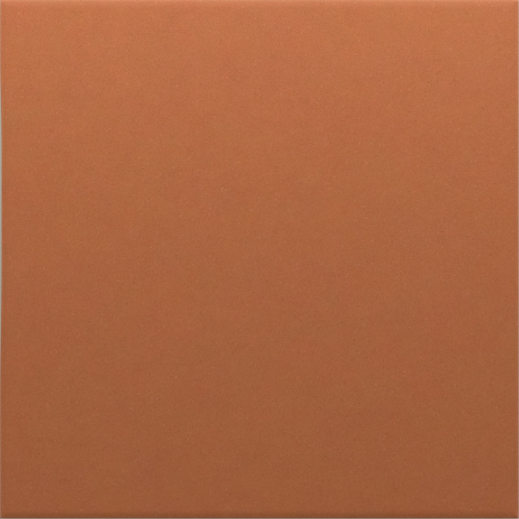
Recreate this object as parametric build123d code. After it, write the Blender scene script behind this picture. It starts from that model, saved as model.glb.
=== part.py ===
from build123d import *
import math
import os

# A square floor tile of pressed clay, fired in one piece. Its flat face ends in a rolled
# edge, its sides stand upright for a band and then lean inwards, and its back is a grid of
# ribs that keys into the bed below. Sizes are in millimetres. The ribs stand on Z = 0,
# the middle of the back is the origin, and the face looks up.

# Outline, seen from above
width = 300.0
length = 300.0
thickness = 11.0
corner_radius = 0.8

# Rolled edge: a wide round that leaves the flat of the face, then a tight one into the side
roll_width = 5.0
roll_radius = 13.0
arris_radius = 1.0

# Sides: below the press line they lean inwards, so that the pressed tile leaves its die
press_line_height = 5.0
side_draft = 5.0
back_edge_bevel = 0.5

# Ribbed back: a flat rim round a grid of shallow pockets with sloping walls
rim_width = 8.0
rib_width = 5.0
pocket_columns = 7
pocket_rows = 7
pocket_depth = 0.9
pocket_draft = 30.0
pocket_corner_radius = 3.0

# Blanks and profiles run past the tile by this much, so that their ends cut nothing
overrun = 10.0


def back_side(side):
    """Side of the flat back, after the sides' lean and the bevel have come off it."""
    lean = (press_line_height - back_edge_bevel) * math.tan(math.radians(side_draft))
    return side - 2 * (lean + back_edge_bevel)


def rolled_profile(span):
    """Cross-section with a rolled edge at each side of the face and a bevel at the back."""
    side = span / 2

    # The tight round touches the side, and touches the wide one from inside
    between_centres = roll_radius - arris_radius
    roll_angle = math.degrees(math.asin((roll_width - arris_radius) / between_centres))

    # The bevel is a straight line at 45 degrees through the edge of the flat back
    back_edge = back_side(span) / 2
    bevel_top = (side, side - back_edge)
    bevel_foot = (back_edge - overrun, -overrun)

    with BuildSketch(Plane.XZ) as profile:
        with BuildLine():
            face = Line((0, thickness), (side - roll_width, thickness))
            roll = JernArc(face @ 1, face % 1, roll_radius, -roll_angle)
            arris = JernArc(roll @ 1, roll % 1, arris_radius, roll_angle - 90)
            Polyline(arris @ 1, bevel_top, bevel_foot, (0, -overrun), (0, thickness))
        make_face()
        mirror(about=Plane.YZ)
    return profile.sketch


def rolled_slab(span, run):
    """The cross-section drawn out along Y, past both ends of the tile."""
    return extrude(rolled_profile(span), amount=run / 2 + overrun, both=True)


def leaning_blank():
    """Rounded square, upright above the press line and leaning inwards below it."""
    press_plane = Plane.XY.offset(press_line_height)
    with BuildPart() as blank:
        with BuildSketch():
            RectangleRounded(width, length, corner_radius)
        extrude(amount=press_line_height)
        draft(blank.faces().filter_by(Axis.Z, reverse=True), press_plane, -side_draft)
        with BuildSketch(press_plane):
            RectangleRounded(width, length, corner_radius)
        extrude(amount=thickness - press_line_height + overrun)
    return blank.part


def pocket_side(side, count):
    """Side of one pocket, where count of them and the ribs between share the back."""
    return (back_side(side) - 2 * rim_width - (count - 1) * rib_width) / count


def back_pockets():
    """Shallow rounded pockets, narrower at their floors, that leave the ribs standing."""
    across = pocket_side(width, pocket_columns)
    along = pocket_side(length, pocket_rows)
    with BuildPart() as pockets:
        with BuildSketch():
            with GridLocations(across + rib_width, along + rib_width, pocket_columns, pocket_rows):
                RectangleRounded(across, along, pocket_corner_radius)
        extrude(amount=pocket_depth, taper=pocket_draft)
    return pockets.part


def tile():
    """The blank, inside a rolled slab each way, less the pockets of its back."""
    across = rolled_slab(width, length)
    along = rolled_slab(length, width).rotate(Axis.Z, 90)
    return leaning_blank() & across & along - back_pockets()


os.makedirs("parts", exist_ok=True)
export_step(tile(), "parts/tile.step")
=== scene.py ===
import math
from types import SimpleNamespace

import bpy
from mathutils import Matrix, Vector


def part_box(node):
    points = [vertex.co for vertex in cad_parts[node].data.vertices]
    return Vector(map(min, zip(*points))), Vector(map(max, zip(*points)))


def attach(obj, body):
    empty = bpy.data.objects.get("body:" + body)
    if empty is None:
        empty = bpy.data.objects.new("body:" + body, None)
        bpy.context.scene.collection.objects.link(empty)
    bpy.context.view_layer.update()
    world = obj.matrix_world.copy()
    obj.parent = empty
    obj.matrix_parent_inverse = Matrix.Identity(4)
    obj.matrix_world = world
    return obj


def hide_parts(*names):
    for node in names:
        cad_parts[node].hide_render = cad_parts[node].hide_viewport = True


# A pressed floor tile with a matt terracotta coat. Lengths are in metres and angles in
# radians, in the part's own frame: the tile lies on its ribs and its face looks up.

MM = 0.001
RIGHT_ANGLE = math.pi / 2

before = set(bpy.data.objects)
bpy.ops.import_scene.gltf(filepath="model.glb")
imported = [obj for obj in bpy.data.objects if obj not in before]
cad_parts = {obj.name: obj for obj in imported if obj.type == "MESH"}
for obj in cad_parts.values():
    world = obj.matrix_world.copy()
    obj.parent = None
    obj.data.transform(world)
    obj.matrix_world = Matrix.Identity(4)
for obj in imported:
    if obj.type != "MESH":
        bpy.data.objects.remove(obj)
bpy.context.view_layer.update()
tile_low, tile_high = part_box("tile")
WIDTH, LENGTH, THICKNESS = tile_high - tile_low

# Sizes of the tile, which are the named inputs of its node tree
SIZES = {
    "width": WIDTH,
    "length": LENGTH,
    "thickness": THICKNESS,
    "corner_radius": 0.8 * MM,
    "roll_width": 5.0 * MM,
    "roll_radius": 13.0 * MM,
    "arris_radius": 1.0 * MM,
    "press_line_height": 5.0 * MM,
    "side_draft": math.radians(5.0),
    "back_edge_bevel": 0.5 * MM,
    "rim_width": 8.0 * MM,
    "rib_width": 5.0 * MM,
    "pockets_across": 7,
    "pockets_along": 7,
    "pocket_depth": 0.9 * MM,
    "pocket_draft": math.radians(30.0),
    "pocket_corner_radius": 3.0 * MM,
    "toe_radius": 0.5 * MM,
    "lip_radius": 0.4 * MM,
    # The left side is drawn in between two places along Y, and eases in from both of them
    "left_side_bow": 0.85 * MM,
    "bow_far_end": 120.0 * MM,
    "bow_far_ease": 56.0 * MM,
    "bow_near_end": -79.0 * MM,
    "bow_near_ease": 77.0 * MM,
    # Faint waves in the face
    "wave_height": 0.02 * MM,
    "wave_size": 30.0 * MM,
    "seed": 11,
}

# How finely the tile is meshed: steps along one pocket's side, and loops across each stretch
POCKET_STEPS = 16
CORNER_STEPS = 4
ROLL_LOOPS = 10
ARRIS_LOOPS = 7
SIDE_LOOPS = 3
LEAN_LOOPS = 3
BACK_EDGE_LOOPS = 4
RIM_LOOPS = 4
FLOOR_LOOPS = 4
TOE_LOOPS = 3
WALL_LOOPS = 1
LIP_LOOPS = 3
LAND_LOOPS = 2
WELD_DISTANCE = 0.01 * MM

# Shorter than any real length, so that nothing is divided by zero
NO_LENGTH = 1e-9

# The paint map: one square for the face with its edge folded out, one for the ribbed back
MAP_NAME = "OFBake"
FACE_MAP = {"corner": (0.01, 0.01), "side": 0.61}
BACK_MAP = {"corner": (0.635, 0.01), "side": 0.355}

# Terracotta colours, linear. The hue wanders by up to half of COAT_WANDER each way
COAT_DARK = (0.318, 0.081, 0.0125, 1.0)
COAT_LIGHT = (0.442, 0.141, 0.0580, 1.0)
# Pale specks take this colour, and so does the painted highlight along the arris
COAT_SPECK_AND_HIGHLIGHT = (0.60, 0.27, 0.14, 1.0)
COAT_PRICK = (0.20, 0.050, 0.012, 1.0)
COAT_WANDER = (0.085, 0.033, 0.019)
CLAY_DARK = (0.40, 0.150, 0.075, 1.0)
CLAY_LIGHT = (0.54, 0.230, 0.125, 1.0)
CLAY_GROG = (0.62, 0.36, 0.22, 1.0)
CLAY_PIT = (0.20, 0.070, 0.035, 1.0)
KILN_WASH = (0.60, 0.50, 0.41, 1.0)

# Spots of one kind: how far apart their cells are, how wide they are, and the share of the
# cells that stay empty
PALE_SPECKS = {"spacing": 2.4 * MM, "radius": 0.42 * MM, "empty": 0.80}
PINPRICKS = {"spacing": 2.4 * MM, "radius": 0.40 * MM, "empty": 0.90}
GROG = {"spacing": 1.9 * MM, "radius": 0.30 * MM, "empty": 0.83}
PITS = {"spacing": 2.6 * MM, "radius": 0.25 * MM, "empty": 0.88}

# The size of the spots in each soft pattern
COAT_GRAIN = 0.9 * MM
COAT_MOTTLE = 6.0 * MM
HUE_STRETCH = 30.0 * MM
CLAY_GRAIN = 1.8 * MM
CLAY_SCUFF = 0.9 * MM
CLAY_SCUFF_STRETCH = (1.0, 1.0, 0.08)
COAT_LINE_STRETCH = 14.0 * MM
WASH_PATCH = 11.0 * MM

# How strongly each mark shows, from 0 to 1
MOTTLE_SHARE = 0.16
# Painted shade on the rolled edge
PAINTED_ROLL_SHADE = 0.09
# Painted highlight along the arris
ARRIS_HIGHLIGHT_SHARE = 0.12
SPECK_SHARE = 0.26
PRICK_SHARE = 0.5
SCUFF_SHARE = 0.25
GROG_SHARE = 0.55
PIT_SHARE = 0.6
WASH_SHARE = 0.6

# Contrast, roughness from the low to the high spots, and the height of the relief
COAT_CONTRAST, COAT_ROUGHNESS, COAT_RELIEF = 1.25, (0.45, 0.65), 0.012 * MM
CLAY_CONTRAST, CLAY_ROUGHNESS, CLAY_RELIEF = 2.8, (0.8, 0.9), 0.12 * MM
WASH_CONTRAST, WASH_MIDDLE, WASH_RELIEF = 4.0, 0.56, 0.5 * MM

# Drops below the flat of the face: where the painted shade on the roll is full, and where the
# painted highlight, a paler line along the arris, starts, is full, fades and ends
PAINTED_ROLL_SHADE_DROP = 0.25 * MM
ARRIS_START, ARRIS_FULL, ARRIS_FADES, ARRIS_END = 0.45 * MM, 0.783 * MM, 1.1 * MM, 1.6 * MM

# Heights above the ribs: the line where the coat stops, how far it wanders, how soon the coat
# is full above it, and the band that the kiln wash reaches
COAT_LINE = 6.2 * MM
COAT_LINE_WANDER = 2.4 * MM
COAT_EDGE = 0.35 * MM
WASH_FULL, WASH_END = 0.04 * MM, 0.12 * MM

# The floor: its paint, and a plain tone that the camera alone sees in it, by a share
FLOOR_PAINT = (0.55, 0.56, 0.51, 1.0)
FLOOR_TONE = (0.35, 0.36, 0.32, 1.0)
FLOOR_EVENNESS = 0.45
FLOOR_HALF_SIDE = 4.0
FLOOR_HEIGHT = -0.02 * MM

# The light: a fill from all round, with more of it from the far side and from the left and
# right flanks, and one long strip lamp. The camera sees the fill as a plain backdrop.
FILL_STRENGTH = 0.487
FILL_SLANT = Vector((-0.05, 0.5, 0.0))
FILL_FLANKS = (1.6, 2.9)
BACKDROP_STRENGTH = 0.92
KEY_POWER = 3.1
KEY_SIZE = (1.7, 0.05)
KEY_PLACE = Vector((0.0, 0.32, 0.22))


class Term:
    """One number inside a node tree, so that a rule reads as plain arithmetic."""

    def __init__(self, tree, socket):
        self.tree = tree
        self.socket = socket

    def math(self, operation, *others):
        feeds = dict(enumerate((self, *others)))
        node = add_node(self.tree, "ShaderNodeMath", feeds, operation=operation)
        return Term(self.tree, node.outputs[0])

    def __add__(self, other):
        return self.math("ADD", other)

    def __radd__(self, other):
        return self + other

    def __sub__(self, other):
        return self.math("SUBTRACT", other)

    def __rsub__(self, other):
        return -self + other

    def __mul__(self, other):
        return self.math("MULTIPLY", other)

    def __rmul__(self, other):
        return self * other

    def __truediv__(self, other):
        return self.math("DIVIDE", other)

    def __neg__(self):
        return self.math("MULTIPLY", -1.0)

    def __abs__(self):
        return self.math("ABSOLUTE")

    def clamp(self, low, high):
        return self.math("MAXIMUM", low).math("MINIMUM", high)


def add_node(tree, kind, feeds=None, **settings):
    """A new node with its own settings, whose inputs are fed by name or by place."""
    node = tree.nodes.new(kind)
    for name, value in settings.items():
        setattr(node, name, value)
    for name, value in (feeds or {}).items():
        feed(tree, node.inputs[name], value)
    return node


def feed(tree, socket, value):
    """Links a socket to a term or to another socket, or sets it to a plain value."""
    value = value.socket if isinstance(value, Term) else value
    if isinstance(value, bpy.types.NodeSocket):
        tree.links.new(value, socket)
    else:
        socket.default_value = value


def constant(tree, value):
    """A plain number as a term."""
    node = tree.nodes.new("ShaderNodeValue")
    node.outputs[0].default_value = value
    return Term(tree, node.outputs[0])


def sine(angle):
    return angle.math("SINE") if isinstance(angle, Term) else math.sin(angle)


def cosine(angle):
    return angle.math("COSINE") if isinstance(angle, Term) else math.cos(angle)


def blend(share, start, end):
    """From start to end as share goes from 0 to 1."""
    return share * (end - start) + start


def ramp(value, start, end):
    """0 while value is short of start, 1 once it is past end, and straight between."""
    return ((value - start) / (end - start)).clamp(0.0, 1.0)


def eased(share):
    """The share kept from 0 to 1, with a soft start and a soft end."""
    share = share.clamp(0.0, 1.0)
    return share * share * (3.0 - share * 2.0)


class Section:
    """A cross-section drawn stroke by stroke, each stroke over its own count of loops.

    out, up and run are where a loop lies: outwards, upwards, and along the section. The same
    names after end_ are those of the last stroke's end."""

    def __init__(self, loop, out, up):
        self.loop = loop
        self.loops = 0
        self.out, self.up, self.run = out, up, 0.0
        self.end_out, self.end_up, self.end_run = out, up, 0.0

    def share(self, loops):
        """How much of the next stroke lies behind a loop, from 0 to 1."""
        share = ramp(self.loop, self.loops, self.loops + loops)
        self.loops += loops
        return share

    def line_to(self, out, up, loops):
        share = self.share(loops)
        step_out, step_up = out - self.end_out, up - self.end_up
        length = (step_out * step_out + step_up * step_up).math("SQRT")
        self.out = self.out + share * step_out
        self.up = self.up + share * step_up
        self.run = self.run + share * length
        self.end_out, self.end_up, self.end_run = out, up, length + self.end_run
        return share

    def arc(self, radius, heading, turn, loops):
        """heading is the slope below level where it starts. A hollow has a negative radius."""
        share = self.share(loops)
        angle = share * turn + heading
        self.out = self.out + radius * (sine(angle) - sine(heading))
        self.up = self.up + radius * (cosine(angle) - cosine(heading))
        self.run = self.run + abs(radius * turn) * share
        self.end_out = self.end_out + radius * (sine(turn + heading) - sine(heading))
        self.end_up = self.end_up + radius * (cosine(turn + heading) - cosine(heading))
        self.end_run = abs(radius * turn) + self.end_run
        return share


def tile_tree(sizes):
    """The node tree of the whole tile, with a named input for each of its sizes."""
    tree = bpy.data.node_groups.new("Pressed tile", "GeometryNodeTree")
    for name, value in sizes.items():
        kind = "NodeSocketInt" if isinstance(value, int) else "NodeSocketFloat"
        tree.interface.new_socket(name, in_out="INPUT", socket_type=kind)
    tree.interface.new_socket("tile", in_out="OUTPUT", socket_type="NodeSocketGeometry")
    group_input = tree.nodes.new("NodeGroupInput")
    size = SimpleNamespace(**{name: Term(tree, group_input.outputs[name]) for name in sizes})

    # The ribbed back is a grid of square cells, each a pocket inside half a rib
    lean = (size.press_line_height - size.back_edge_bevel) * size.side_draft.math("TANGENT")
    margin = lean + size.back_edge_bevel + size.rim_width - size.rib_width / 2.0
    size.lean = lean
    size.field = (size.width - margin * 2.0, size.length - margin * 2.0)
    size.margin = margin
    size.steps = (size.pockets_across * POCKET_STEPS, size.pockets_along * POCKET_STEPS)

    edge, unfolded = edge_and_rim(tree, size)
    joined = tree.nodes.new("GeometryNodeJoinGeometry")
    for part in (flat_face(tree, size, unfolded), edge, ribbed_back(tree, size)):
        tree.links.new(part, joined.inputs[0])
    feeds = {"Geometry": joined.outputs[0], "Distance": WELD_DISTANCE}
    welded = add_node(tree, "GeometryNodeMergeByDistance", feeds)
    fired = firing_marks(tree, size, welded.outputs[0])
    smooth = add_node(tree, "GeometryNodeSetShadeSmooth", {"Geometry": fired})
    realized = add_node(tree, "GeometryNodeRealizeInstances", {"Geometry": smooth.outputs[0]})
    feeds = {"Geometry": realized.outputs[0], "Material": tile_material()}
    painted = add_node(tree, "GeometryNodeSetMaterial", feeds)
    output = tree.nodes.new("NodeGroupOutput")
    tree.links.new(painted.outputs[0], output.inputs[0])
    return tree


def place_of(tree):
    """x, y and z of a point, as terms."""
    position = add_node(tree, "GeometryNodeInputPosition")
    parts = add_node(tree, "ShaderNodeSeparateXYZ", {0: position.outputs[0]})
    return [Term(tree, socket) for socket in parts.outputs]


def moved(tree, geometry, x, y, z):
    """The geometry with each of its points at a new place."""
    place = add_node(tree, "ShaderNodeCombineXYZ", {0: x, 1: y, 2: z})
    feeds = {"Geometry": geometry, "Position": place.outputs[0]}
    return add_node(tree, "GeometryNodeSetPosition", feeds).outputs[0]


def on_map(tree, geometry, square, x, y, whole):
    """The geometry with its corners at their places in a square of the paint map.

    whole holds the width and length that fill the square."""
    place = []
    for along, extent, corner in zip((x, y), whole, square["corner"]):
        place.append((along / extent + 0.5) * square["side"] + corner)
    pair = add_node(tree, "ShaderNodeCombineXYZ", {0: place[0], 1: place[1]})
    settings = {"domain": "POINT", "data_type": "FLOAT_VECTOR"}
    spot = add_node(tree, "GeometryNodeFieldOnDomain", {0: pair.outputs[0]}, **settings)
    feeds = {"Geometry": geometry, "Name": MAP_NAME, "Value": spot.outputs[0]}
    settings = {"domain": "CORNER", "data_type": "FLOAT2"}
    return add_node(tree, "GeometryNodeStoreNamedAttribute", feeds, **settings).outputs[0]


def ring_sheet(tree, around, loops):
    """A sheet of faces, with each point's station round a ring and its loop across the ring."""
    rows = loops + 1
    grid = add_node(tree, "GeometryNodeMeshGrid", {"Vertices X": around + 1.0, "Vertices Y": rows})
    index = Term(tree, tree.nodes.new("GeometryNodeInputIndex").outputs[0])
    station = ((index + 0.5) / rows).math("FLOOR")
    return grid.outputs["Mesh"], station, index - station * rows


def ring_place(station, steps, reach, radius, crowding, tight):
    """x and y of a station on a rounded rectangle, clockwise from the middle of its left side.

    steps and reach are the steps along each side and the half sides. Where crowding is 1,
    the steps next to a corner share the tight length there; where it is 0 all are even."""
    around = (steps[0] + steps[1]) * 2.0
    quarter = around / 4.0
    whole, core = [], []
    for turn in (0, 1):
        phase = (station + quarter * turn).math("FLOORED_MODULO", around)
        step = (quarter - abs(phase - around / 2.0)).clamp(-(steps[turn] / 2.0), steps[turn] / 2.0)
        even = reach[turn] * (2.0 * CORNER_STEPS) / steps[turn]
        corner = blend(crowding, even, tight).math("MINIMUM", even)
        from_corner = steps[turn] / 2.0 - abs(step)
        near = from_corner * corner / CORNER_STEPS
        rest = (reach[turn] - corner) / (steps[turn] / 2.0 - CORNER_STEPS)
        far = corner + (from_corner - CORNER_STEPS) * rest
        along = (reach[turn] - near.math("MAXIMUM", far)) * step.math("SIGN")
        inner = reach[turn] - radius.math("MINIMUM", reach[turn])
        whole.append(along)
        core.append(along.clamp(-inner, inner))
    off = [a - b for a, b in zip(whole, core)]
    length = (off[0] * off[0] + off[1] * off[1]).math("SQRT").math("MAXIMUM", NO_LENGTH)
    pull = radius.math("MINIMUM", reach[0]).math("MINIMUM", reach[1]) / length
    return [middle + step * pull for middle, step in zip(core, off)]


def flat_face(tree, size, unfolded):
    """The flat of the face, inside the rolled edge."""
    sides = [side - size.roll_width * 2.0 for side in (size.width, size.length)]
    feeds = {"Size X": sides[0], "Size Y": sides[1]}
    feeds |= {"Vertices X": size.steps[0] + 1.0, "Vertices Y": size.steps[1] + 1.0}
    grid = add_node(tree, "GeometryNodeMeshGrid", feeds)
    x, y, _ = place_of(tree)
    mapped = on_map(tree, grid.outputs["Mesh"], FACE_MAP, x, y, unfolded)
    return moved(tree, mapped, x, y, size.thickness)


def edge_and_rim(tree, size):
    """The rolled edge, the sides and the rim of the back, as rings from the face to the ribs.

    Comes with the width and length of the tile when all this is folded out flat."""
    loops = ROLL_LOOPS + ARRIS_LOOPS + SIDE_LOOPS + LEAN_LOOPS + BACK_EDGE_LOOPS + RIM_LOOPS
    sheet, station, loop = ring_sheet(tree, (size.steps[0] + size.steps[1]) * 2.0, loops)

    # The tight round touches the side, and touches the wide one from inside
    between_centres = size.roll_radius - size.arris_radius
    roll_angle = ((size.roll_width - size.arris_radius) / between_centres).math("ARCSINE")
    back_round = size.back_edge_bevel / (1.0 - sine(size.side_draft))
    back_heading = size.side_draft + RIGHT_ANGLE

    section = Section(loop, -size.roll_width, size.thickness)
    rolled = section.arc(size.roll_radius, 0.0, roll_angle, ROLL_LOOPS)
    section.arc(size.arris_radius, roll_angle, RIGHT_ANGLE - roll_angle, ARRIS_LOOPS)
    section.line_to(0.0, size.press_line_height, SIDE_LOOPS)
    section.line_to(-size.lean, size.back_edge_bevel, LEAN_LOOPS)
    section.arc(back_round, back_heading, RIGHT_ANGLE - size.side_draft, BACK_EDGE_LOOPS)
    rimmed = section.line_to(-size.margin, 0.0, RIM_LOOPS)

    # Folded out flat, a loop lies as far from the flat of the face as its run along the section
    rounding = (rolled * 2.0).math("MINIMUM", 1.0) - rimmed
    insets = [side - size.roll_width * 2.0 for side in (size.width, size.length)]
    unfolded = [inset + section.end_run * 2.0 for inset in insets]
    reach = [inset / 2.0 + section.run for inset in insets]
    square = constant(tree, 0.0)
    x, y = ring_place(station, size.steps, reach, square, rounding, size.corner_radius)
    mapped = on_map(tree, sheet, FACE_MAP, x, y, unfolded)

    # Corners are square where the face and the cells of the back join on, and round between
    reach = [side / 2.0 + section.out for side in (size.width, size.length)]
    radius = size.corner_radius * rounding
    x, y = ring_place(station, size.steps, reach, radius, rounding, size.corner_radius)
    return moved(tree, mapped, x, y, section.up), unfolded


def pocket_cell(tree, size, cell):
    """One pocket and the halves of the ribs round it, as rings from its middle outwards."""
    loops = FLOOR_LOOPS + TOE_LOOPS + WALL_LOOPS + LIP_LOOPS + LAND_LOOPS
    steps = (constant(tree, POCKET_STEPS),) * 2
    sheet, station, loop = ring_sheet(tree, steps[0] * 4.0, loops)

    # Rounds cut the same length off the lines on both their sides
    wall_slope = RIGHT_ANGLE - size.pocket_draft
    half_tangent = (wall_slope / 2.0).math("TANGENT")
    toe = size.toe_radius * half_tangent
    lip = size.lip_radius * half_tangent
    mouth = -size.rib_width / 2.0
    floor_edge = mouth - size.pocket_depth * size.pocket_draft.math("TANGENT")

    half_cell = (cell[0] / 2.0).math("MINIMUM", cell[1] / 2.0)
    section = Section(loop, -half_cell, size.pocket_depth)
    section.line_to(floor_edge - toe, size.pocket_depth, FLOOR_LOOPS)
    section.arc(size.toe_radius, 0.0, wall_slope, TOE_LOOPS)
    section.line_to(mouth - lip * cosine(wall_slope), lip * sine(wall_slope), WALL_LOOPS)
    section.arc(-size.lip_radius, wall_slope, -wall_slope, LIP_LOOPS)
    landed = section.line_to(0.0, 0.0, LAND_LOOPS)

    # Corners keep one centre inside the mouth, and turn square towards the next cell
    inside = size.pocket_corner_radius + section.out - mouth
    outside = size.pocket_corner_radius * section.out / mouth
    radius = inside.math("MINIMUM", outside).math("MAXIMUM", 0.0)
    reach = (cell[0] / 2.0 + section.out, cell[1] / 2.0 + section.out)
    x, y = ring_place(station, steps, reach, radius, 1.0 - landed, size.pocket_corner_radius)
    pressed = moved(tree, sheet, x, y, section.up)
    return add_node(tree, "GeometryNodeFlipFaces", {"Mesh": pressed}).outputs[0]


def ribbed_back(tree, size):
    """The cells of the back, set side by side."""
    counts = (size.pockets_across, size.pockets_along)
    cell = [field / count for field, count in zip(size.field, counts)]
    feeds = {"Size X": size.field[0] - cell[0], "Size Y": size.field[1] - cell[1]}
    feeds |= {"Vertices X": counts[0], "Vertices Y": counts[1]}
    centres = add_node(tree, "GeometryNodeMeshGrid", feeds)
    feeds = {"Points": centres.outputs["Mesh"], "Instance": pocket_cell(tree, size, cell)}
    cells = add_node(tree, "GeometryNodeInstanceOnPoints", feeds)
    back = add_node(tree, "GeometryNodeRealizeInstances", {"Geometry": cells.outputs[0]})
    x, y, _ = place_of(tree)
    return on_map(tree, back.outputs[0], BACK_MAP, -x, y, size.field)


def firing_marks(tree, size, geometry):
    """What the kiln does to the pressed shape: faint waves in the face, and one side drawn in."""
    feeds = {"W": size.seed, "Scale": size.wave_size.math("POWER", -1.0), "Detail": 2.0}
    noise = add_node(tree, "ShaderNodeTexNoise", feeds, noise_dimensions="4D")
    x, y, z = place_of(tree)
    swell = (Term(tree, noise.outputs[0]) - 0.5) * 2.0 * size.wave_height * z / size.thickness
    from_far_end = eased((size.bow_far_end - y) / size.bow_far_ease)
    from_near_end = eased((y - size.bow_near_end) / size.bow_near_ease)
    towards_left = (-x * 2.0 / size.width).clamp(0.0, 1.0)
    drawn_in = size.left_side_bow * from_far_end * from_near_end * towards_left
    return moved(tree, geometry, x + drawn_in, y, z + swell)


def elsewhere(tree, place, seed):
    """A spot far off in the same pattern, so that two uses of it don't look alike."""
    step = (0.31, 0.17, 0.23)
    feeds = {0: place, 1: [seed * along for along in step]}
    return add_node(tree, "ShaderNodeVectorMath", feeds, operation="ADD").outputs[0]


def grain(tree, place, size, detail=2.0, seed=0.0):
    """Soft noise about 0.5 whose spots are about the given size."""
    feeds = {"Vector": elsewhere(tree, place, seed), "Scale": 1.0 / size, "Detail": detail}
    return Term(tree, add_node(tree, "ShaderNodeTexNoise", feeds).outputs[0])


def contrast(value, gain, middle=0.5):
    """The same pattern with its swing multiplied, kept between 0 and 1."""
    return ((value - middle) * gain + 0.5).clamp(0.0, 1.0)


def mixed(tree, share, start, end):
    """A colour between two others."""
    node = add_node(tree, "ShaderNodeMix", data_type="RGBA")
    feed(tree, node.inputs["Factor"], share)
    colours = [socket for socket in node.inputs if socket.type == "RGBA"]
    feed(tree, colours[0], start)
    feed(tree, colours[1], end)
    return next(socket for socket in node.outputs if socket.type == "RGBA")


def specks(tree, place, seed, spacing, radius, empty):
    """Round spots in a few cells of a scattered pattern, 1 inside a spot and 0 outside.

    empty is the share of the cells that stay without a spot."""
    feeds = {"Vector": elsewhere(tree, place, seed), "Scale": 1.0 / spacing}
    node = add_node(tree, "ShaderNodeTexVoronoi", feeds)
    from_centre = Term(tree, node.outputs["Distance"]) * spacing
    chance = add_node(tree, "ShaderNodeSeparateColor", {0: node.outputs["Color"]})
    chosen = Term(tree, chance.outputs[0]).math("GREATER_THAN", empty)
    return ramp(from_centre, radius * 1.5, radius * 0.5) * chosen


def wandering_hue(tree, place, colour):
    """The colour with its hue astray, over stretches of a few centimetres down to a millimetre."""
    feeds = {"Vector": elsewhere(tree, place, 4.0), "Scale": 1.0 / HUE_STRETCH}
    feeds |= {"Detail": 4.0, "Roughness": 0.95}
    hues = add_node(tree, "ShaderNodeTexNoise", feeds).outputs["Color"]
    feeds = {0: hues, 1: (0.5, 0.5, 0.5)}
    astray = add_node(tree, "ShaderNodeVectorMath", feeds, operation="SUBTRACT").outputs[0]
    feeds = {0: astray, 1: COAT_WANDER, 2: colour}
    return add_node(tree, "ShaderNodeVectorMath", feeds, operation="MULTIPLY_ADD").outputs[0]


def face_coat(tree, place, z):
    """Matt terracotta coat: colour, roughness and the height of its fine grain.

    It has painted shade on the rolled edge, and a painted highlight in a paler line along the
    arris."""
    drop = THICKNESS - z
    # Painted shade: the coat darkens where the roll drops away from the flat of the face
    rolled = ramp(drop, 0.0, PAINTED_ROLL_SHADE_DROP)
    # Painted highlight: a paler line along the arris
    painted_arris_highlight = ramp(drop, ARRIS_START, ARRIS_FULL) * ramp(drop, ARRIS_END, ARRIS_FADES)
    fine = grain(tree, place, COAT_GRAIN)
    mottle = grain(tree, place, COAT_MOTTLE, seed=2.0)
    tone = contrast(fine + (mottle - 0.5) * MOTTLE_SHARE, COAT_CONTRAST) - rolled * PAINTED_ROLL_SHADE
    colour = wandering_hue(tree, place, mixed(tree, tone, COAT_DARK, COAT_LIGHT))

    pale = specks(tree, place, seed=5.0, **PALE_SPECKS)
    pricks = specks(tree, place, seed=6.0, **PINPRICKS)
    # The stronger of the pale specks and the painted arris highlight
    specks_and_painted_highlight = (pale * SPECK_SHARE).math("MAXIMUM", painted_arris_highlight * ARRIS_HIGHLIGHT_SHARE)
    colour = mixed(tree, specks_and_painted_highlight, colour, COAT_SPECK_AND_HIGHLIGHT)
    colour = mixed(tree, pricks * PRICK_SHARE, colour, COAT_PRICK)
    return colour, blend(fine, *COAT_ROUGHNESS), fine * COAT_RELIEF


def bare_clay(tree, place):
    """Uncoated fired clay: grogged, pitted, rough and scuffed upwards by the die."""
    coarse = grain(tree, place, CLAY_GRAIN, detail=5.0, seed=7.0)
    feeds = {0: place, 1: CLAY_SCUFF_STRETCH}
    upright = add_node(tree, "ShaderNodeVectorMath", feeds, operation="MULTIPLY").outputs[0]
    scuffs = grain(tree, upright, CLAY_SCUFF, seed=8.0)
    tone = contrast(blend(SCUFF_SHARE, coarse, scuffs), CLAY_CONTRAST)
    grog = specks(tree, place, seed=9.0, **GROG)
    pits = specks(tree, place, seed=10.0, **PITS)
    colour = mixed(tree, tone, CLAY_DARK, CLAY_LIGHT)
    colour = mixed(tree, grog * GROG_SHARE, colour, CLAY_GROG)
    colour = mixed(tree, pits * PIT_SHARE, colour, CLAY_PIT)
    bumps, scratches, holes = coarse * 0.6, scuffs * 0.2, pits * 0.6
    height = (bumps + scratches - holes) * CLAY_RELIEF
    return colour, blend(coarse, *CLAY_ROUGHNESS), height


def tile_material():
    """The coat down to a wandering line on the sides, bare clay below it, and wash on the ribs."""
    material = bpy.data.materials.new("Matt terracotta tile")
    material.use_nodes = True
    tree = material.node_tree
    shader = tree.nodes["Principled BSDF"]
    place = tree.nodes.new("ShaderNodeTexCoord").outputs["Object"]
    z = Term(tree, add_node(tree, "ShaderNodeSeparateXYZ", {0: place}).outputs[2])

    coat, coat_roughness, coat_height = face_coat(tree, place, z)
    clay, clay_roughness, clay_height = bare_clay(tree, place)

    wander = grain(tree, place, COAT_LINE_STRETCH, seed=13.0) - 0.5
    coated = ((z - COAT_LINE - wander * COAT_LINE_WANDER) / COAT_EDGE).clamp(0.0, 1.0)
    thick = grain(tree, place, WASH_PATCH, detail=5.0, seed=17.0) + clay_height / WASH_RELIEF
    washed = ramp(z, WASH_END, WASH_FULL) * contrast(thick, WASH_CONTRAST, WASH_MIDDLE)
    clay = mixed(tree, washed * WASH_SHARE, clay, KILN_WASH)
    feed(tree, shader.inputs["Base Color"], mixed(tree, coated, clay, coat))
    feed(tree, shader.inputs["Roughness"], blend(coated, clay_roughness, coat_roughness))
    shader.inputs["Specular IOR Level"].default_value = 0.3
    feeds = {"Height": blend(coated, clay_height, coat_height), "Distance": 1.0}
    feed(tree, shader.inputs["Normal"], add_node(tree, "ShaderNodeBump", feeds).outputs[0])
    return material


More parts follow.
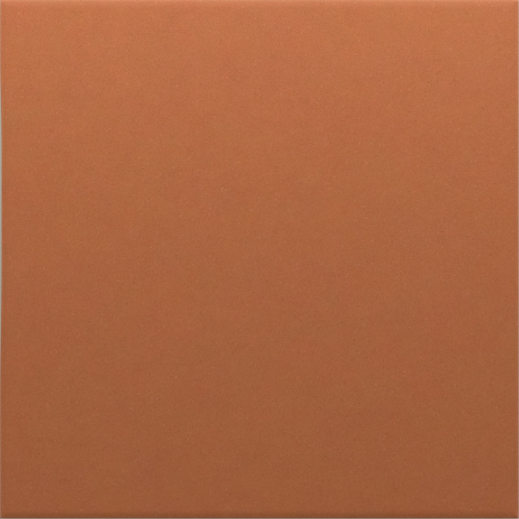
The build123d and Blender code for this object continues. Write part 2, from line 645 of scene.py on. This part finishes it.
def fired_tile():
    """The tile as one plain mesh, grown by its node tree."""
    tree = tile_tree(SIZES)
    mesh = bpy.data.meshes.new("fired_tile")
    tile = bpy.data.objects.new("fired_tile", mesh)
    bpy.context.collection.objects.link(tile)
    growth = tile.modifiers.new("Pressed tile", "NODES")
    growth.node_group = tree
    for socket in tree.interface.items_tree:
        if socket.in_out == "INPUT":
            growth[socket.identifier] = SIZES[socket.name]
    depsgraph = bpy.context.evaluated_depsgraph_get()
    grown = tile.evaluated_get(depsgraph)
    tile.data = bpy.data.meshes.new_from_object(grown, depsgraph=depsgraph)
    tile.modifiers.remove(growth)
    return tile


def floor_material():
    """Matt and pale. The camera sees a plain tone in it, so that its light and shade are soft."""
    material = bpy.data.materials.new("Pale floor")
    material.use_nodes = True
    tree = material.node_tree
    shader = tree.nodes["Principled BSDF"]
    shader.inputs["Base Color"].default_value = FLOOR_PAINT
    shader.inputs["Roughness"].default_value = 0.9
    tone = add_node(tree, "ShaderNodeEmission", {"Color": FLOOR_TONE})
    seen = Term(tree, tree.nodes.new("ShaderNodeLightPath").outputs["Is Camera Ray"])
    feeds = {0: seen * FLOOR_EVENNESS, 1: shader.outputs[0], 2: tone.outputs[0]}
    softened = add_node(tree, "ShaderNodeMixShader", feeds)
    feed(tree, tree.nodes["Material Output"].inputs["Surface"], softened.outputs[0])
    return material


def floor():
    """A pale floor, a hair below the ribs that stand on it."""
    turns = ((-1, -1), (1, -1), (1, 1), (-1, 1))
    corners = [(x * FLOOR_HALF_SIDE, y * FLOOR_HALF_SIDE, FLOOR_HEIGHT) for x, y in turns]
    mesh = bpy.data.meshes.new("floor")
    mesh.from_pydata(corners, [], [(0, 1, 2, 3)])
    mesh.materials.append(floor_material())
    ground = bpy.data.objects.new("floor", mesh)
    bpy.context.collection.objects.link(ground)
    return ground


def aim(thing, place, target):
    """Puts a lamp in its place and turns it towards the target."""
    thing.location = place
    thing.rotation_mode = "QUATERNION"
    thing.rotation_quaternion = (target - place).to_track_quat("-Z", "Y")


def key_lamp():
    """A long strip over the far side, so that its light falls off over the face."""
    lamp = bpy.data.lights.new("key", "AREA")
    lamp.shape = "RECTANGLE"
    lamp.size, lamp.size_y = KEY_SIZE
    lamp.energy = KEY_POWER
    key = bpy.data.objects.new("key", lamp)
    bpy.context.collection.objects.link(key)
    key.visible_camera = False
    aim(key, KEY_PLACE, Vector((0.0, 0.0, THICKNESS)))


def soft_fill():
    """Light from all round, more from the far side and both flanks, seen as a pale backdrop."""
    world = bpy.data.worlds.new("studio")
    bpy.context.scene.world = world
    world.use_nodes = True
    tree = world.node_tree
    heading = tree.nodes.new("ShaderNodeTexCoord").outputs["Generated"]
    feeds = {0: heading, 1: FILL_SLANT}
    slant = add_node(tree, "ShaderNodeVectorMath", feeds, operation="DOT_PRODUCT").outputs["Value"]
    sideways = Term(tree, add_node(tree, "ShaderNodeSeparateXYZ", {0: heading}).outputs[0])
    flanks = sideways.math("POWER", 4.0) * blend((sideways + 1.0) / 2.0, *FILL_FLANKS)
    fill = (Term(tree, slant) + flanks + 1.0) * FILL_STRENGTH
    seen = Term(tree, tree.nodes.new("ShaderNodeLightPath").outputs["Is Camera Ray"])
    strength = blend(seen, fill, BACKDROP_STRENGTH)
    feed(tree, tree.nodes["Background"].inputs["Strength"], strength)
    feed(tree, tree.nodes["Background"].inputs["Color"], (1.0, 1.0, 1.0, 1.0))


def camera():
    """A long lens straight above the face, framed as the photograph is, with +Y at its top."""
    picture_side = 519.0
    tile_side = 518.6
    tile_centre = (259.35, 259.05)
    lens, sensor = 200.0, 36.0
    outline_height = 9.3 * MM

    metres_per_pixel = WIDTH / tile_side
    x = (picture_side / 2 - tile_centre[0]) * metres_per_pixel
    y = (tile_centre[1] - picture_side / 2) * metres_per_pixel
    distance = picture_side * metres_per_pixel * lens / sensor

    lens_data = bpy.data.cameras.new("camera")
    lens_data.lens = lens
    lens_data.sensor_width = sensor
    viewer = bpy.data.objects.new("camera", lens_data)
    viewer.location = (x, y, outline_height + distance)
    bpy.context.collection.objects.link(viewer)
    bpy.context.scene.camera = viewer


bpy.context.scene.view_settings.view_transform = "Standard"
tile = fired_tile()
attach(tile, "root")
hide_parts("tile")
floor()
key_lamp()
soft_fill()
camera()
